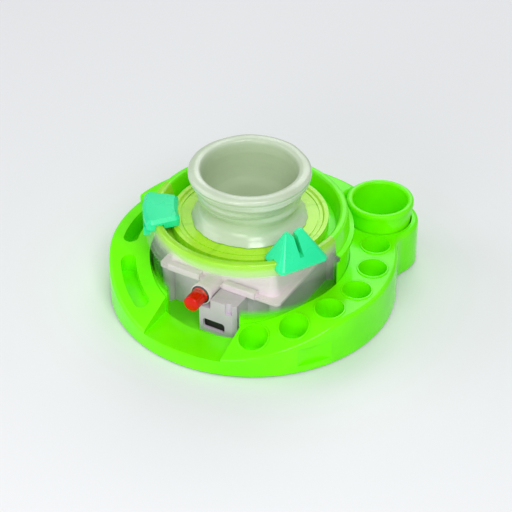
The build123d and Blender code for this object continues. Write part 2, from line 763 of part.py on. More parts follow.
# Tub of the drive unit, with the boss that reaches towards the bay
tube_z = flange_z + flange_thickness / 2
boss_low_z = tube_z - tube_collar_radius - boss_to_tube_gap
boss_front_y = wheel_y - unit_front - boss_reach
boss_right = boss_left + boss_width
with BuildPart() as motor_tub:
    with BuildSketch(over_wheel(unit_z)):
        RectangleRounded(unit_width, unit_depth, unit_corner)
    extrude(amount=flange_z - unit_z)
    with BuildSketch(Plane.XY.offset(unit_z)):
        with Locations((boss_left + boss_width / 2, boss_front_y + (boss_reach + unit_corner) / 2)):
            Rectangle(boss_width, boss_reach + unit_corner)
    extrude(amount=boss_low_z - unit_z)
    with BuildSketch(Plane.XY.offset(boss_low_z)):
        with Locations((boss_right, boss_front_y)):
            Rectangle(boss_width - boss_low_width, boss_reach + unit_corner, align=(Align.MAX, Align.MIN))
    extrude(amount=flange_z - boss_low_z)
    with Locations(*[(x, y, unit_z) for x, y in ear_spots]):
        Cylinder(ear_post_radius, flange_z - unit_z, align=UP)
        Cylinder(screw_radius, housing_boss_height, align=UP, mode=Mode.SUBTRACT)
    upright_edges = motor_tub.edges().filter_by(Axis.Z)
    chamfer(upright_edges.sort_by_distance((boss_right, boss_front_y, unit_z))[:2], boss_chamfer)
    with BuildSketch(over_wheel(unit_z + unit_wall)):
        RectangleRounded(unit_width - 2 * unit_wall, unit_depth - 2 * unit_wall, unit_corner - unit_wall)
    extrude(amount=flange_z - unit_z, mode=Mode.SUBTRACT)
    with Locations((boss_left + unit_wall, boss_front_y + unit_wall, unit_z + unit_wall)):
        Box(
            boss_width - unit_wall - boss_chamfer, boss_reach - 2 * unit_wall,
            boss_low_z - unit_z - 2 * unit_wall, align=(Align.MIN, Align.MIN, Align.MIN), mode=Mode.SUBTRACT,
        )
    window_spot = (boss_left + window_left + window_width / 2, boss_front_y, unit_z + window_low)
    with BuildSketch(Plane(window_spot, x_dir=(1, 0, 0), z_dir=(0, -1, 0))):
        with Locations((0, window_height / 2)):
            RectangleRounded(window_width, window_height, window_corner)
    extrude(amount=-boss_reach / 2, mode=Mode.SUBTRACT)
    with Locations((boss_right - boss_chamfer - channel_radius, boss_front_y, boss_low_z)):
        Cylinder(channel_radius, flange_z - boss_low_z, align=UP, mode=Mode.SUBTRACT)
    with Locations(*[(x, y, unit_z) for x, y in pillar_spots]):
        Cylinder(post_radius, gear_plate_z - unit_z, align=UP)
    with Locations((cell_x, door_screw_y, unit_z)):
        Cylinder(post_radius, unit_wall + door_boss_height, align=UP)
        Cylinder(screw_radius, unit_wall + door_boss_height, align=UP, mode=Mode.SUBTRACT)
    with Locations((cell_x, wheel_y, unit_z)):
        Box(bank_length, bank_width, unit_wall, align=UP, mode=Mode.SUBTRACT)
    with BuildSketch(Plane((tube_x, wheel_y - unit_front, tube_z), z_dir=(0, 1, 0))):
        Circle(tube_radius)
    extrude(amount=2 * unit_wall, mode=Mode.SUBTRACT)
keep(motor_tub, "motor_tub")

# Dark liner that stands in the boss behind its window
with BuildPart() as port_liner:
    with Locations((window_spot[0], boss_front_y + liner_depth, unit_z + unit_wall)):
        Box(
            window_width + 2 * liner_margin, liner_thickness, window_low + window_height - unit_wall,
            align=(Align.CENTER, Align.MIN, Align.MIN),
        )
keep(port_liner, "port_liner")

# Lid of the drive unit: flange, sloping sides and two clip bars beside the button tube
bar_y = wheel_y - unit_front - flange_reach + clip_bar_half / 2
with BuildPart() as motor_lid:
    with BuildSketch(over_wheel(flange_z + flange_thickness)):
        RectangleRounded(unit_width, unit_depth, unit_corner)
    extrude(amount=lid_top_z - flange_z - flange_thickness, taper=lid_draft)
    fillet(motor_lid.edges().group_by(Axis.Z)[-1], lid_round)
    with BuildSketch(over_wheel(flange_z)):
        RectangleRounded(unit_width + 2 * flange_reach, unit_depth + 2 * flange_reach, flange_corner)
    extrude(amount=flange_thickness)
    for side in (-1, 1):
        bar_middle = (tube_x + side * clip_bar_offset, bar_y, flange_z + clip_bar_half)
        with BuildSketch(Plane(bar_middle, z_dir=(1, 0, 0))):
            RectangleRounded(2 * clip_bar_half, 2 * clip_bar_half, clip_bar_round)
        extrude(amount=clip_bar_length / 2, both=True)
    with BuildSketch(over_wheel(flange_z)):
        RectangleRounded(unit_width - 2 * unit_wall, unit_depth - 2 * unit_wall, unit_corner - unit_wall)
    extrude(amount=lid_top_z - flange_z - unit_wall, taper=lid_draft, mode=Mode.SUBTRACT)
    with Locations((0, wheel_y, lid_top_z)):
        Cylinder(spindle_radius + shaft_gap + bush_wall, 4 * unit_wall, mode=Mode.SUBTRACT)
    with BuildSketch(Plane((tube_x, wheel_y, tube_z), z_dir=(0, -1, 0))):
        Circle(tube_radius)
    extrude(amount=2 * unit_front, mode=Mode.SUBTRACT)
keep(motor_lid, "motor_lid")

# Button tube through the joint of lid and tub, and the red push button that slides in it
tube_front_y = wheel_y - unit_front - tube_length
tube_back_y = wheel_y - unit_front + unit_wall + tube_inside
with BuildPart() as button_tube:
    with BuildSketch(Plane((tube_x, tube_back_y, tube_z), z_dir=(0, -1, 0))):
        Circle(tube_radius)
    extrude(amount=tube_back_y - tube_front_y)
    with BuildSketch(Plane((tube_x, tube_front_y, tube_z), z_dir=(0, 1, 0))):
        Circle(tube_collar_radius)
    extrude(amount=tube_collar_length)
    with BuildSketch(Plane((tube_x, tube_back_y, tube_z), z_dir=(0, -1, 0))):
        Circle(button_radius + button_gap)
    extrude(amount=tube_back_y - tube_front_y, mode=Mode.SUBTRACT)
keep(button_tube, "button_tube")

button_back_y = tube_back_y + switch_gap + button_ring_length
button_front_y = tube_front_y - button_out
with BuildPart() as red_button:
    with BuildSketch(Plane((tube_x, button_back_y, tube_z), z_dir=(0, -1, 0))):
        Circle(button_radius)
    extrude(amount=button_back_y - button_front_y)
    fillet(red_button.edges().group_by(Axis.Y)[0], button_dome)
    with BuildSketch(Plane((tube_x, button_back_y, tube_z), z_dir=(0, -1, 0))):
        Circle(button_ring_radius)
    extrude(amount=button_ring_length)
keep(red_button, "red_button")

# Gear plate on the tub's pillars, notched for the button
gear_distance = gear_module * (gear_teeth + pinion_teeth) / 2 + mesh_gap
idler_x, idler_y = polar(gear_distance, idler_angle, wheel_y)
motor_x = idler_x + gear_distance * cos(radians(motor_angle))
motor_y = idler_y + gear_distance * sin(radians(motor_angle))
plate_level = gear_plate_z + gear_plate_thickness
switch_y = button_back_y + button_travel + switch_gap
with BuildPart() as gear_plate:
    with BuildSketch(over_wheel(gear_plate_z)) as plate_sketch:
        RectangleRounded(
            unit_width - 2 * unit_wall - 2 * plate_gap, unit_depth - 2 * unit_wall - 2 * plate_gap,
            unit_corner - unit_wall,
        )
        with Locations((tube_x, -unit_front)):
            Rectangle(
                2 * tube_collar_radius, 2 * (switch_y - wheel_y + unit_front), mode=Mode.SUBTRACT,
            )
        with Locations((0, 0)):
            Circle(spindle_radius + shaft_gap + bush_wall, mode=Mode.SUBTRACT)
        with Locations((idler_x, idler_y - wheel_y)):
            Circle(idler_pin_radius, mode=Mode.SUBTRACT)
        with Locations((motor_x, motor_y - wheel_y)):
            Circle(motor_boss_radius, mode=Mode.SUBTRACT)
    extrude(amount=gear_plate_thickness)
keep(gear_plate, "gear_plate")

# Push switch behind the button
with BuildPart() as switch:
    with Locations((tube_x, switch_y + switch_depth / 2, plate_level)):
        Box(switch_width, switch_depth, switch_height, align=UP)
    fillet(switch.edges().filter_by(Axis.Z), switch_gap)
keep(switch, "push_switch")

# Motor under the plate, its shaft and pinion
motor_z = gear_plate_z - motor_length
with BuildPart() as motor:
    with BuildSketch(Plane((motor_x, motor_y, motor_z))):
        Circle(motor_radius)
        Rectangle(2 * motor_radius, motor_flat_width, mode=Mode.INTERSECT)
    extrude(amount=motor_length)
    with Locations((motor_x, motor_y, gear_plate_z)):
        Cylinder(motor_boss_radius, gear_plate_thickness, align=UP)
    with Locations((motor_x, motor_y, motor_z)):
        shaft_room = motor_length + gear_plate_thickness
        Cylinder(motor_shaft_radius + shaft_gap, shaft_room, align=UP, mode=Mode.SUBTRACT)
keep(motor, "motor")

with BuildPart() as motor_shaft:
    with Locations((motor_x, motor_y, motor_z)):
        Cylinder(motor_shaft_radius, low_gear_z + low_gear_height - motor_z, align=UP)
keep(motor_shaft, "motor_shaft")


def toothed(plane, teeth, first_angle):
    """Outline of a spur gear on a plane, one tooth centred at the first angle."""
    pitch_radius = gear_module * teeth / 2
    root = pitch_radius - tooth_root * gear_module
    tip = pitch_radius + tooth_height * gear_module
    foot_half = tooth_foot * gear_module
    point_half = tooth_point * gear_module
    with BuildSketch(plane) as outline:
        Circle(root)
        with PolarLocations(0, teeth, start_angle=first_angle):
            Polygon(
                (root - gear_module, -foot_half), (root, -foot_half), (tip, -point_half),
                (tip, point_half), (root, foot_half), (root - gear_module, foot_half), align=None,
            )
    return outline.sketch


with BuildPart() as motor_pinion:
    pinion = toothed(Plane((motor_x, motor_y, low_gear_z)), pinion_teeth, motor_angle + 180)
    extrude(pinion, amount=low_gear_height)
    with Locations((motor_x, motor_y, low_gear_z)):
        Cylinder(motor_shaft_radius, low_gear_height, align=UP, mode=Mode.SUBTRACT)
keep(motor_pinion, "motor_pinion")

# Two-step idler: a large gear with a small one moulded on top, on a steel pin
with BuildPart() as idler_gear:
    large = toothed(Plane((idler_x, idler_y, low_gear_z)), gear_teeth, motor_angle + 180 / gear_teeth)
    extrude(large, amount=low_gear_height)
    small = toothed(Plane((idler_x, idler_y, low_gear_z + low_gear_height)), pinion_teeth, idler_angle + 180)
    extrude(small, amount=idler_top_z - low_gear_z - low_gear_height)
    with Locations((idler_x, idler_y, low_gear_z)):
        Cylinder(idler_pin_radius + shaft_gap, idler_top_z - low_gear_z, align=UP, mode=Mode.SUBTRACT)
keep(idler_gear, "idler_gear")

with BuildPart() as idler_pin:
    with Locations((idler_x, idler_y, gear_plate_z)):
        Cylinder(idler_pin_radius, idler_top_z + idler_pin_over - gear_plate_z, align=UP)
keep(idler_pin, "idler_pin")

# Output gear on the spindle that carries the wheel head
with BuildPart() as output_gear:
    output = toothed(over_wheel(high_gear_z), gear_teeth, idler_angle + 180 / gear_teeth)
    extrude(output, amount=high_gear_height)
    with Locations((0, wheel_y, high_gear_z)):
        Cylinder(spindle_radius, high_gear_height, align=UP, mode=Mode.SUBTRACT)
keep(output_gear, "output_gear")

with BuildPart() as spindle:
    with Locations((0, wheel_y, gear_plate_z)):
        Cylinder(spindle_radius, wheel_under_z - gear_plate_z, align=UP)
keep(spindle, "spindle")


def bush(name, low_z, height):
    """Flanged bearing bush round the spindle, its flange on top."""
    bore = spindle_radius + shaft_gap
    with BuildPart() as ring:
        with Locations((0, wheel_y, low_z)):
            Cylinder(bore + bush_wall, height, align=UP)
        with Locations((0, wheel_y, low_z + height)):
            Cylinder(bore + bush_wall + bush_flange, bush_flange_height, align=UP)
        with Locations((0, wheel_y, low_z)):
            Cylinder(bore, height + bush_flange_height, align=UP, mode=Mode.SUBTRACT)
    keep(ring, name)


bush("lower_bush", gear_plate_z, gear_plate_thickness)
bush("upper_bush", lid_top_z - unit_wall, unit_wall)

# Four cells side by side, alternating, their contacts, and the door they rest on
cell_z = plate_top_z + cell_gap + cell_radius
cell_reach = (cell_length + cell_nub_length) / 2
for number in range(cell_count):
    cell_y = wheel_y + cell_pitch * (number - (cell_count - 1) / 2)
    way = 1 if number % 2 else -1
    with BuildPart() as cell:
        with BuildSketch(Plane((cell_x - way * cell_reach, cell_y, cell_z), z_dir=(way, 0, 0))):
            Circle(cell_radius)
        extrude(amount=cell_length)
        shoulder_x = cell_x + way * (cell_reach - cell_nub_length)
        with BuildSketch(Plane((shoulder_x, cell_y, cell_z), z_dir=(way, 0, 0))):
            Circle(cell_nub_radius)
        extrude(amount=cell_nub_length)
    keep(cell, f"cell_{number + 1}")

with BuildPart() as battery_contacts:
    for side in (-1, 1):
        for number in range(cell_count):
            cell_y = wheel_y + cell_pitch * (number - (cell_count - 1) / 2)
            with Locations((cell_x + side * (bank_length - contact_thickness) / 2, cell_y, cell_z)):
                Box(contact_thickness, contact_width, contact_width)
keep(battery_contacts, "battery_contacts")

with BuildPart() as battery_door:
    extrude(door_outline(plate_top_z - door_thickness), amount=door_thickness)
    with Locations((cell_x, door_screw_y, tray_foot_z)):
        Cylinder(screw_radius + screw_hole_gap, 4 * plate_thickness, mode=Mode.SUBTRACT)
        Cylinder(screw_head_radius + screw_hole_gap, screw_head_height, align=UP, mode=Mode.SUBTRACT)
keep(battery_door, "battery_door")
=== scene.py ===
"""Looks of the toy pottery wheel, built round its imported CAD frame. Metres, front towards -Y."""

import math

import bmesh
import bpy
from mathutils import Matrix, Vector, noise


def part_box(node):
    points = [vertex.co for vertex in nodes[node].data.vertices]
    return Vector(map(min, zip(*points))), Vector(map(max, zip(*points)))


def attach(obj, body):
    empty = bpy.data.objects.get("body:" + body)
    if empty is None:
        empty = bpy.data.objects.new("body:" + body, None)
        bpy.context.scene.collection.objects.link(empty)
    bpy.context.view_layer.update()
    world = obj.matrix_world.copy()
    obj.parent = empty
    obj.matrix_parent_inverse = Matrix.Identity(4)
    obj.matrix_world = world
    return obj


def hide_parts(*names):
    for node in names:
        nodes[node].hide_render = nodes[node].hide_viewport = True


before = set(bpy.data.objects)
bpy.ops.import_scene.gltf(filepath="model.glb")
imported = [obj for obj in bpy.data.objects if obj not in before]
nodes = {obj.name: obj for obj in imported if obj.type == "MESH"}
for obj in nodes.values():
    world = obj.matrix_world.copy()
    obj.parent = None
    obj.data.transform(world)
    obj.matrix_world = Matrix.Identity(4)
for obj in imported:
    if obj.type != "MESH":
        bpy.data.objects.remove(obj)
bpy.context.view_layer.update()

# Tray: one thin injection moulding in bright lime ABS, polished in the tool, with wells and tool slots.
# The flow of the plastic leaves faint cloudy streaks, and handling leaves a slightly uneven gloss.


def linear(code):
    """Linear colour from an sRGB hex code."""
    parts = [int(code[i:i + 2], 16) / 255 for i in (1, 3, 5)]
    return [p / 12.92 if p <= 0.04045 else ((p + 0.055) / 1.055) ** 2.4 for p in parts] + [1.0]


def put(tree, kind, sockets=None, **settings):
    """Adds a shader node. Sockets are given values, or the output sockets that they are linked from."""
    new = tree.nodes.new(kind)
    for name, value in settings.items():
        setattr(new, name, value)
    for name, value in (sockets or {}).items():
        if isinstance(value, bpy.types.NodeSocket):
            tree.links.new(value, new.inputs[name])
        else:
            new.inputs[name].default_value = value
    return new


def per_mm(size):
    """Noise scale that gives a feature this many millimetres across."""
    return 1000 / size


def moulded_plastic(name, light, deep, gloss, grain_mm, ior=1.53, specular=0.5):
    """Moulded plastic: cloudy colour at 40 mm, uneven gloss at 15 mm and a fine surface grain."""
    material = bpy.data.materials.new(name)
    material.use_nodes = True
    tree = material.node_tree
    shader = tree.nodes["Principled BSDF"]
    where = put(tree, "ShaderNodeTexCoord").outputs["Object"]
    cloud = put(tree, "ShaderNodeTexNoise", {"Vector": where, "Scale": per_mm(40), "Detail": 3})
    spread = put(tree, "ShaderNodeMapRange", {
        "Value": cloud.outputs["Fac"], "From Min": 0.35, "From Max": 0.65,
    })
    tint = put(tree, "ShaderNodeMix", {
        "Factor": spread.outputs["Result"], "A": linear(light), "B": linear(deep),
    }, data_type="RGBA")
    tree.links.new(tint.outputs["Result"], shader.inputs["Base Color"])
    rub = put(tree, "ShaderNodeTexNoise", {"Vector": where, "Scale": per_mm(15), "Detail": 4})
    sheen = put(tree, "ShaderNodeMapRange", {
        "Value": rub.outputs["Fac"], "From Min": 0.3, "From Max": 0.7,
        "To Min": gloss - 0.05, "To Max": gloss + 0.07,
    })
    tree.links.new(sheen.outputs["Result"], shader.inputs["Roughness"])
    grain = put(tree, "ShaderNodeTexNoise", {"Vector": where, "Scale": per_mm(grain_mm), "Detail": 2})
    bump = put(tree, "ShaderNodeBump", {
        "Height": grain.outputs["Fac"], "Strength": 0.06, "Distance": 0.0004,
    })
    tree.links.new(bump.outputs["Normal"], shader.inputs["Normal"])
    shader.inputs["IOR"].default_value = ior
    shader.inputs["Specular IOR Level"].default_value = specular
    return material


def dress(material, *names):
    """Gives CAD nodes a material."""
    for name in names:
        mesh = nodes[name].data
        mesh.materials.clear()
        mesh.materials.append(material)


lime_abs = moulded_plastic(
    "lime ABS, polished moulding", "#76FE00", "#68F200", gloss=0.17, grain_mm=3.0, specular=0.18,
)
dress(lime_abs, "base_tray", "bottom_plate", "battery_door")

# Feet and screws: moulded rubber pads pressed into the plate, and zinc-plated self-tapping screws.
# Rubber is dull; the zinc is bright with a fine turned grain.
foot_rubber = moulded_plastic(
    "black rubber, moulded", "#2A2A2A", "#202020", gloss=0.75, grain_mm=0.8, ior=1.5,
)
dress(foot_rubber, "rubber_feet")


def plated_metal(name, colour, gloss, grain_mm):
    """Metal with a fine uneven gloss from its plating or turning."""
    material = bpy.data.materials.new(name)
    material.use_nodes = True
    tree = material.node_tree
    shader = tree.nodes["Principled BSDF"]
    shader.inputs["Base Color"].default_value = linear(colour)
    shader.inputs["Metallic"].default_value = 1.0
    where = put(tree, "ShaderNodeTexCoord").outputs["Object"]
    grain = put(tree, "ShaderNodeTexNoise", {"Vector": where, "Scale": per_mm(grain_mm), "Detail": 4})
    sheen = put(tree, "ShaderNodeMapRange", {
        "Value": grain.outputs["Fac"], "To Min": gloss - 0.08, "To Max": gloss + 0.12,
    })
    tree.links.new(sheen.outputs["Result"], shader.inputs["Roughness"])
    return material


zinc = plated_metal("zinc-plated steel, turned", "#C4C7CC", gloss=0.32, grain_mm=0.7)
dress(zinc, "plate_screws", "housing_screws", "unit_screws", "door_screw")
dress(zinc, "motor_shaft", "idler_pin", "spindle")

# Housing: two mouldings that meet at the sides and carry the splash basin. The rear one is solid lime.
# The front one is clear styrene: its skirt is nearly colourless, so the drive unit shows through it,
# and under the ring it is painted a milky white as a painted reflection. Its rim, its basin and its foot,
# down in the tray's opening, are dyed lime.
wheel_low, wheel_high = (Vector(corner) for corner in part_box("wheel_head"))
wheel_axis = (wheel_low + wheel_high) / 2
basin_edge, basin_blend, basin_alpha = 0.0655, 0.002, 0.9
foot_dyed_z, foot_clear_z = 0.029, 0.037
skirt_clear_z, skirt_reflection_z, rim_dyed_z = 0.050, 0.063, 0.0725
foot_alpha, skirt_alpha, milky_reflection_alpha, rim_alpha = 0.95, 0.03, 0.15, 0.72
dress(lime_abs, "rear_housing")
clear_styrene = moulded_plastic(
    "clear styrene, dyed towards the rim", "#B2F538", "#A6EE2C", gloss=0.12, grain_mm=4.0, ior=1.59,
)
tree = clear_styrene.node_tree
shader = tree.nodes["Principled BSDF"]
where = tree.nodes["Texture Coordinate"].outputs["Object"]
height = put(tree, "ShaderNodeSeparateXYZ", {"Vector": where}).outputs["Z"]
flat = put(tree, "ShaderNodeMapping", {
    "Vector": where, "Location": (-wheel_axis.x, -wheel_axis.y, 0), "Scale": (1, 1, 0),
})
from_axis = put(tree, "ShaderNodeVectorMath", {0: flat.outputs["Vector"]}, operation="LENGTH")
basin = put(tree, "ShaderNodeMapRange", {
    "Value": from_axis.outputs["Value"], "From Min": basin_edge, "From Max": basin_edge + basin_blend,
    "To Min": 1.0, "To Max": 0.0,
})
rim = put(tree, "ShaderNodeMapRange", {
    "Value": height, "From Min": skirt_reflection_z, "From Max": rim_dyed_z,
})
dyed = put(tree, "ShaderNodeMath", {
    0: rim.outputs["Result"], 1: basin.outputs["Result"],
}, operation="MAXIMUM")
# Painted reflection: a milky white mixed into the cover under the ring stands in for light reflected there.
milky_reflection = put(tree, "ShaderNodeMix", {
    "Factor": dyed.outputs["Value"], "A": linear("#F4F7EC"),
    "B": shader.inputs["Base Color"].links[0].from_socket,
}, data_type="RGBA")
foot_dye = put(tree, "ShaderNodeMapRange", {
    "Value": height, "From Min": foot_dyed_z, "From Max": foot_clear_z, "To Min": 1.0, "To Max": 0.0,
})
foot_tint = put(tree, "ShaderNodeMapRange", {
    "Value": height, "From Min": foot_clear_z, "From Max": skirt_clear_z, "To Min": 1.0, "To Max": 0.0,
})
tinted = put(tree, "ShaderNodeMix", {
    "Factor": foot_tint.outputs["Result"], "A": milky_reflection.outputs["Result"], "B": linear("#6FF800"),
}, data_type="RGBA")
tree.links.new(tinted.outputs["Result"], shader.inputs["Base Color"])
lower = put(tree, "ShaderNodeMapRange", {
    "Value": height, "From Min": skirt_clear_z, "From Max": skirt_reflection_z,
    "To Min": skirt_alpha, "To Max": milky_reflection_alpha,
})
upper = put(tree, "ShaderNodeMapRange", {
    "Value": height, "From Min": skirt_reflection_z, "From Max": rim_dyed_z,
    "To Max": rim_alpha - milky_reflection_alpha,
})
whole = put(tree, "ShaderNodeMath", {
    0: lower.outputs["Result"], 1: upper.outputs["Result"],
}, operation="ADD")
covered = put(tree, "ShaderNodeMath", {
    0: foot_dye.outputs["Result"], 1: foot_alpha, 2: whole.outputs["Value"],
}, operation="MULTIPLY_ADD")
closed = put(tree, "ShaderNodeMath", {
    0: basin.outputs["Result"], 1: basin_alpha,
}, operation="MULTIPLY")
solid = put(tree, "ShaderNodeMath", {
    0: covered.outputs["Value"], 1: closed.outputs["Value"],
}, operation="MAXIMUM")
tree.links.new(solid.outputs["Value"], shader.inputs["Alpha"])
dress(clear_styrene, "front_cover")

# Drive unit: a pale ABS tub and lid with a fine matt texture, and the button tube between them. The tub is
# the lid's plastic painted a darker grey as shade.
# A dark liner, painted dark olive as the shade inside the window, closes the window in its nose, and a
# rubber ring seals the button where it enters the tube.
lid_abs = moulded_plastic("pale ABS, fine matt texture", "#FAE4EE", "#F0DCE9", gloss=0.4, grain_mm=1.2)
dress(lid_abs, "motor_lid", "button_tube")
# Painted shade: the tub is a darker copy of the lid's pale ABS.
tub_abs_painted_shade = moulded_plastic(
    "pale ABS painted darker as shade, fine matt texture", "#D8C9D7", "#CCBECD", gloss=0.44, grain_mm=1.2,
)
dress(tub_abs_painted_shade, "motor_tub")
# Painted shade: on the port liner this dark olive stands in for the shade in the window's hollow; the gear
# plate and switch are dark parts.
dark_abs_and_shade = moulded_plastic("dark ABS and painted shade, matt", "#2C3322", "#23291C", gloss=0.5, grain_mm=1.0)
dress(dark_abs_and_shade, "port_liner", "gear_plate", "push_switch")


def finished(name, mesh_data, material, body):
    """Makes a smooth object from a bmesh, gives it its material and rides it on a body."""
    bmesh.ops.remove_doubles(mesh_data, verts=mesh_data.verts, dist=1e-6)
    bmesh.ops.recalc_face_normals(mesh_data, faces=mesh_data.faces)
    mesh = bpy.data.meshes.new(name)
    mesh_data.to_mesh(mesh)
    mesh_data.free()
    mesh.polygons.foreach_set("use_smooth", [True] * len(mesh.polygons))
    mesh.materials.append(material)
    piece = bpy.data.objects.new(name, mesh)
    bpy.context.scene.collection.objects.link(piece)
    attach(piece, body)
    return piece


def spun(points, middle, axis, steps):
    """Full turn of a line of points about an axis."""
    shell = bmesh.new()
    spots = [shell.verts.new(p) for p in points]
    edges = [shell.edges.new(pair) for pair in zip(spots, spots[1:])]
    bmesh.ops.spin(
        shell, geom=spots + edges, cent=middle, axis=axis, dvec=(0, 0, 0), angle=math.tau, steps=steps,
        use_merge=True, use_duplicate=False,
    )
    return shell


tube_low, tube_high = (Vector(corner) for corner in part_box("button_tube"))
button_axis = (tube_low + tube_high) / 2
ring_radius, ring_half, ring_points = 0.0066, 0.0006, 12
seal_line = []
for i in range(ring_points + 1):
    turn = math.tau * i / ring_points
    seal_line.append((
        button_axis.x, tube_low.y - ring_half * (1 - math.cos(turn)),
        button_axis.z + ring_radius + ring_half * math.sin(turn),
    ))
seal_mesh = spun(seal_line, button_axis, (0, 1, 0), 48)
finished("tube_seal_ring", seal_mesh, foot_rubber, "base")

# Push button: a red ABS plunger with a ribbed grip and a softly domed end, held in by a ring behind.
# It is polished in the tool.
button_red = moulded_plastic(
    "red ABS, polished moulding", "#E41C06", "#CC1403", gloss=0.22, grain_mm=2.0, specular=0.2,
)
button_low, button_high = (Vector(corner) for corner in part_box("red_button"))
stop_radius, stop_length = (button_high.x - button_low.x) / 2, 0.002
plunger_radius, end_round, dome_rise = 0.0059, 0.0016, 0.0004
grip_length, rib_count, rib_depth = 0.0095, 20, 0.0005
grip_back_y = button_low.y + end_round + grip_length
button_line = [
    (0, button_high.y), (stop_radius, button_high.y), (stop_radius, button_high.y - stop_length),
    (plunger_radius, button_high.y - stop_length), (plunger_radius, grip_back_y + 2 * rib_depth),
    (plunger_radius - 2 * rib_depth, grip_back_y + rib_depth), (plunger_radius, grip_back_y),
]
button_line += [(plunger_radius, grip_back_y - grip_length * i / 8) for i in range(1, 8)]
for i in range(7):
    turn = math.pi / 2 * i / 6
    button_line.append((
        plunger_radius - end_round * (1 - math.cos(turn)),
        button_low.y + dome_rise + (end_round - dome_rise) * (1 - math.sin(turn)),
    ))
button_line += [((plunger_radius - end_round) / 2, button_low.y + dome_rise / 4), (0, button_low.y)]
button_mesh = spun(
    [(button_axis.x, y, button_axis.z + r) for r, y in button_line],
    button_axis, (0, 1, 0), 3 * rib_count,
)
for vert in button_mesh.verts:
    out = Vector((vert.co.x - button_axis.x, 0, vert.co.z - button_axis.z))
    column = round(math.atan2(out.z, out.x) / math.tau * 3 * rib_count)
    on_grip = button_low.y + end_round < vert.co.y < grip_back_y - rib_depth
    if on_grip and column % 3 == 0:
        vert.co -= out.normalized() * rib_depth
button = finished("ribbed_push_button", button_mesh, button_red, "button")
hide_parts("red_button")

# Drive train: nylon gears, a brass pinion and bushes, and a small motor in a pressed steel can.
# Nylon is milky and dull, the brass is turned, and the can is drawn from plated sheet.
gear_nylon = moulded_plastic("natural nylon, moulded", "#F1EEE2", "#E6E2D2", gloss=0.45, grain_mm=1.0)
dress(gear_nylon, "idler_gear", "output_gear")
turned_brass = plated_metal("brass, turned", "#D9B25A", gloss=0.3, grain_mm=0.6)
dress(turned_brass, "motor_pinion", "lower_bush", "upper_bush")
motor_can = plated_metal("steel can, pressed and plated", "#B9BCC1", gloss=0.38, grain_mm=1.5)
dress(motor_can, "motor")

# Cells: plain film jackets round steel cans, and nickel-plated spring contacts.
# They stand in the tub above the battery door and show only when it is off.
cell_jacket = moulded_plastic("cell jacket, plain film", "#3B4250", "#333A46", gloss=0.35, grain_mm=5.0)
dress(cell_jacket, "cell_1", "cell_2", "cell_3", "cell_4")
nickel = plated_metal("nickel-plated spring metal", "#D6D0BC", gloss=0.25, grain_mm=0.8)
dress(nickel, "battery_contacts")

# Wheel head: a yellow-lime ABS disc, slightly translucent, so the ribs under it show as darker spokes.
# Its top was turned in the tool and keeps faint rings.
wheel_rib_count, wheel_rib_half, wheel_rib_blur, turned_ring_mm = 8, 0.0006, 0.0022, 2.6


def wave_scale(pitch):
    """Wave scale that puts the crests this many millimetres apart."""
    return 100 * math.pi / pitch


wheel_abs = moulded_plastic("yellow-lime ABS, moulded", "#B6F22A", "#ACEA22", gloss=0.26, grain_mm=3.0)
tree = wheel_abs.node_tree
shader = tree.nodes["Principled BSDF"]
where = tree.nodes["Texture Coordinate"].outputs["Object"]
centred = put(tree, "ShaderNodeMapping", {
    "Vector": where, "Location": (-wheel_axis.x, -wheel_axis.y, 0),
})
nearest = None
for i in range(wheel_rib_count // 2):
    turn = math.tau * i / wheel_rib_count
    across = put(tree, "ShaderNodeVectorMath", {
        0: centred.outputs["Vector"], 1: (-math.sin(turn), math.cos(turn), 0),
    }, operation="DOT_PRODUCT")
    apart = put(tree, "ShaderNodeMath", {0: across.outputs["Value"]}, operation="ABSOLUTE")
    apart = apart.outputs["Value"]
    if nearest:
        apart = put(tree, "ShaderNodeMath", {0: nearest, 1: apart}, operation="MINIMUM").outputs["Value"]
    nearest = apart
spokes = put(tree, "ShaderNodeMapRange", {
    "Value": nearest, "From Min": wheel_rib_half, "From Max": wheel_rib_blur,
    "To Min": 0.45, "To Max": 0.0,
}, interpolation_type="SMOOTHSTEP")
shaded = put(tree, "ShaderNodeMix", {
    "Factor": spokes.outputs["Result"], "A": shader.inputs["Base Color"].links[0].from_socket,
    "B": linear("#92D812"),
}, data_type="RGBA")
tree.links.new(shaded.outputs["Result"], shader.inputs["Base Color"])
turned = put(tree, "ShaderNodeTexWave", {
    "Vector": centred.outputs["Vector"], "Scale": wave_scale(turned_ring_mm), "Distortion": 0.4,
}, wave_type="RINGS", rings_direction="Z")
ring_bump = put(tree, "ShaderNodeBump", {
    "Height": turned.outputs["Fac"], "Normal": tree.nodes["Bump"].outputs["Normal"],
    "Strength": 0.03, "Distance": 0.0003,
})
tree.links.new(ring_bump.outputs["Normal"], shader.inputs["Normal"])
dress(wheel_abs, "wheel_head")

# Clay pot: thrown from pale clay, still wet. Fingers leave soft ridges that climb round the wall,
# the lip is a thick uneven roll with a crease in it, and the foot ends in a thin ragged skirt.
pot_low, pot_high = (Vector(corner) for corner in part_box("clay_pot"))
pot_height = pot_high.z - pot_low.z
pot_profile = [
    (0.0, 0.0), (0.0300, 0.0), (0.0419, 0.0001), (0.0424, 0.0008), (0.0405, 0.0024),
    (0.0376, 0.0052), (0.0354, 0.0092), (0.0351, 0.0122), (0.0366, 0.0170), (0.0376, 0.0206),
    (0.0389, 0.0250), (0.0406, 0.0290), (0.0428, 0.0314), (0.0438, 0.0346), (0.0437, 0.0360),
    (0.0445, 0.0384), (0.0438, 0.0406), (0.0412, 0.0417), (0.0374, 0.0416), (0.0354, 0.0406),
    (0.0346, 0.0380), (0.0338, 0.0330), (0.0326, 0.0255), (0.0300, 0.0165), (0.0262, 0.0112),
    (0.0200, 0.0086), (0.0, 0.0081),
]
pot_steps, pot_cuts, pot_middle = 120, 3, 0.004
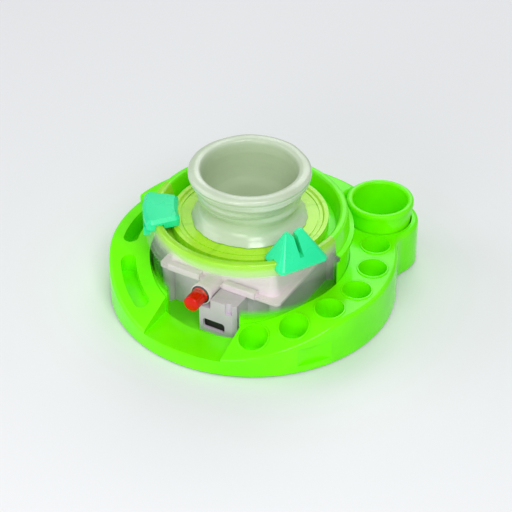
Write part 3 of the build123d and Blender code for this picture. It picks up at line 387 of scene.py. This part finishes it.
inner_radius, inner_flare = 0.0335, 0.004
throw_depth, throw_climb = 0.0003, 38
drag_depth, drag_climb, drag_start = 0.0011, 15, 0.8
uneven_depth, crease_depth, crease_from, wall_set_back = 0.0006, 0.0004, 0.7, 0.0004
ragged_depth, ragged_set_back, foot_share = 0.0011, 0.6, 0.07
lip_wave, lip_set_back, lip_from = 0.0007, 0.75, 0.8


def smooth_line(points, cuts):
    """Catmull-Rom curve through the points, with this many pieces between each pair."""
    ends = [points[0]] + points + [points[-1]]
    line = []
    for before, start, end, after in zip(ends, ends[1:], ends[2:], ends[3:]):
        for i in range(cuts):
            t = i / cuts
            line.append(tuple(
                b + 0.5 * t * (c - a + t * (2 * a - 5 * b + 4 * c - d + t * (3 * (b - c) + d - a)))
                for a, b, c, d in zip(before, start, end, after)
            ))
    return line + [points[-1]]


pot_line = [(r, wheel_axis.y, pot_low.z + z) for r, z in smooth_line(pot_profile, pot_cuts)]
pot_line = [(max(r, 0.0), y, z) for r, y, z in pot_line]
pot_mesh = spun(pot_line, (0, wheel_axis.y, 0), (0, 0, 1), pot_steps)
for vert in pot_mesh.verts:
    out = Vector((vert.co.x, vert.co.y - wheel_axis.y, 0))
    if out.length < pot_middle:
        continue
    angle = math.atan2(out.y, out.x)
    climb = (vert.co.z - pot_low.z) / pot_height
    around = Vector((math.cos(angle), math.sin(angle), 0))
    outside = out.length > inner_radius + inner_flare * climb
    wall = math.sin(math.pi * min(max(climb, 0.0), 1.0))
    throwing = throw_depth * math.sin(angle + climb * throw_climb) * wall
    dragged = drag_depth * math.sin(2 * angle - climb * drag_climb + drag_start) * wall * wall
    uneven = uneven_depth * noise.noise(around * 1.7 + Vector((0, 0, climb * 2.2)))
    near_lip = max(0.0, climb - crease_from) / (1 - crease_from)
    crease = crease_depth * noise.noise(around * 5 + Vector((0, 0, climb * 9))) * near_lip
    foot = max(0.0, 1 - climb / foot_share)
    tears = noise.noise(around * 8) + 0.6 * noise.noise(around * 21) - ragged_set_back
    if outside:
        move = throwing + dragged + uneven + crease - wall_set_back + foot * ragged_depth * tears
    else:
        move = 0.5 * (throwing + uneven)
    vert.co += out.normalized() * move
    if climb > lip_from:
        wave = noise.noise(around * 1.4 + Vector((0, 0, 5))) - lip_set_back
        vert.co.z += lip_wave * wave * (climb - lip_from) / (1 - lip_from)

wet_clay = bpy.data.materials.new("pale clay, wet and thrown")
wet_clay.use_nodes = True
tree = wet_clay.node_tree
shader = tree.nodes["Principled BSDF"]
where = put(tree, "ShaderNodeTexCoord").outputs["Object"]
drawn = put(tree, "ShaderNodeMapping", {"Vector": where, "Scale": (1, 1, 5)})
streak = put(tree, "ShaderNodeTexNoise", {
    "Vector": drawn.outputs["Vector"], "Scale": per_mm(26), "Detail": 4,
})
spread = put(tree, "ShaderNodeMapRange", {
    "Value": streak.outputs["Fac"], "From Min": 0.3, "From Max": 0.75,
})
tint = put(tree, "ShaderNodeMix", {
    "Factor": spread.outputs["Result"], "A": linear("#C7D6BD"), "B": linear("#B8C7AB"),
}, data_type="RGBA")
flat = put(tree, "ShaderNodeMapping", {
    "Vector": where, "Location": (0, -wheel_axis.y, 0), "Scale": (1, 1, 0),
})
from_axis = put(tree, "ShaderNodeVectorMath", {0: flat.outputs["Vector"]}, operation="LENGTH")
inward = put(tree, "ShaderNodeMapRange", {
    "Value": from_axis.outputs["Value"], "From Min": inner_radius, "From Max": 0.0360,
    "To Min": 1.0, "To Max": 0.0,
})
# Painted shade: the inside of the pot is painted a darker, greener clay than the outside.
painted_inner_shade = put(tree, "ShaderNodeMix", {
    "Factor": inward.outputs["Result"], "A": tint.outputs["Result"], "B": linear("#AEC09D"),
}, data_type="RGBA")
tree.links.new(painted_inner_shade.outputs["Result"], shader.inputs["Base Color"])
wetness = put(tree, "ShaderNodeMapRange", {
    "Value": streak.outputs["Fac"], "From Min": 0.3, "From Max": 0.7, "To Min": 0.18, "To Max": 0.42,
})
settled = put(tree, "ShaderNodeMath", {
    0: inward.outputs["Result"], 1: 0.3, 2: wetness.outputs["Result"],
}, operation="MULTIPLY_ADD")
tree.links.new(settled.outputs["Value"], shader.inputs["Roughness"])
finger_marks = put(tree, "ShaderNodeTexWave", {
    "Vector": where, "Scale": wave_scale(3.2), "Distortion": 2.0, "Detail": 2, "Detail Scale": 0.3,
}, bands_direction="Z")
grit = put(tree, "ShaderNodeTexNoise", {"Vector": where, "Scale": per_mm(1.0), "Detail": 3})
relief = put(tree, "ShaderNodeMath", {
    0: finger_marks.outputs["Fac"], 1: 0.5, 2: grit.outputs["Fac"],
}, operation="MULTIPLY_ADD")
bump = put(tree, "ShaderNodeBump", {
    "Height": relief.outputs["Value"], "Strength": 0.16, "Distance": 0.0004,
})
tree.links.new(bump.outputs["Normal"], shader.inputs["Normal"])
film = put(tree, "ShaderNodeMapRange", {
    "Value": inward.outputs["Result"], "To Min": 0.35, "To Max": 0.0,
})
tree.links.new(film.outputs["Result"], shader.inputs["Coat Weight"])
shader.inputs["Coat Roughness"].default_value = 0.12
pot = finished("clay_pot_thrown", pot_mesh, wet_clay, "pot")
smoother = pot.modifiers.new("rounding", "SUBSURF")
smoother.levels = smoother.render_levels = 1
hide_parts("clay_pot")

# Hand rest and tool guide: teal ABS blocks that clip over the rim, polished, with soft edges.
# The guide's slot steadies a tool against the turning clay.
teal_abs = moulded_plastic(
    "teal ABS, polished moulding", "#2CEBA2", "#20DE96", gloss=0.25, grain_mm=2.5, specular=0.35,
)
dress(teal_abs, "hand_rest", "tool_guide")

# Water cup: a lime ABS beaker of the same grade as the tray, with a thick rolled lip.
# It stands loose in its socket.
dress(lime_abs, "water_cup")

# Floor, lights and camera: a pale floor, large soft lamps and the photograph's viewpoint.
# The key lamp stands to the right of the button, and a low lamp in front lights the drive unit.
floor_mesh = bmesh.new()
bmesh.ops.create_grid(floor_mesh, x_segments=1, y_segments=1, size=6)
floor_data = bpy.data.meshes.new("floor")
floor_mesh.to_mesh(floor_data)
floor_mesh.free()
floor = bpy.data.objects.new("floor", floor_data)
bpy.context.scene.collection.objects.link(floor)
floor_paint = bpy.data.materials.new("pale floor paint")
floor_paint.use_nodes = True
floor_shader = floor_paint.node_tree.nodes["Principled BSDF"]
floor_shader.inputs["Base Color"].default_value = linear("#E8E9EB")
floor_shader.inputs["Roughness"].default_value = 0.7
floor_data.materials.append(floor_paint)

world = bpy.data.worlds.new("studio")
world.use_nodes = True
world.node_tree.nodes["Background"].inputs["Color"].default_value = linear("#F8FAFC")
world.node_tree.nodes["Background"].inputs["Strength"].default_value = 0.43
bpy.context.scene.world = world

aim = Vector((0, wheel_axis.y, 0.035))
for name, place, size, power in (
    ("key", (0.75, -0.75, 1.15), 0.7, 10.8),
    ("fill", (-1.1, -0.5, 0.8), 1.0, 4.8),
    ("back", (-0.3, 1.1, 1.0), 0.8, 5.4),
    ("low front", (0.15, -1.2, 0.40), 0.6, 4.0),
):
    lamp = bpy.data.lights.new(name, "AREA")
    lamp.size = size
    lamp.energy = power
    holder = bpy.data.objects.new(name, lamp)
    holder.location = place
    holder.rotation_euler = (aim - Vector(place)).to_track_quat("-Z", "Y").to_euler()
    bpy.context.scene.collection.objects.link(holder)

azimuth, elevation = math.radians(30), math.radians(36.46)
distance, lens, aside, below = 1.437, 137.95, 0.0045, 0.0026
back = Vector((
    math.sin(azimuth) * math.cos(elevation), -math.cos(azimuth) * math.cos(elevation),
    math.sin(elevation),
))
right = Vector((math.cos(azimuth), math.sin(azimuth), 0))
upward = back.cross(right)
camera_data = bpy.data.cameras.new("camera")
camera_data.lens = lens
camera_data.sensor_width = 36
camera = bpy.data.objects.new("camera", camera_data)
camera.matrix_world = (
    Matrix.Translation(aim + back * distance + right * aside - upward * below)
    @ Matrix((right, upward, back)).transposed().to_4x4()
)
bpy.context.scene.collection.objects.link(camera)
bpy.context.scene.camera = camera
bpy.context.scene.view_settings.view_transform = "Standard"
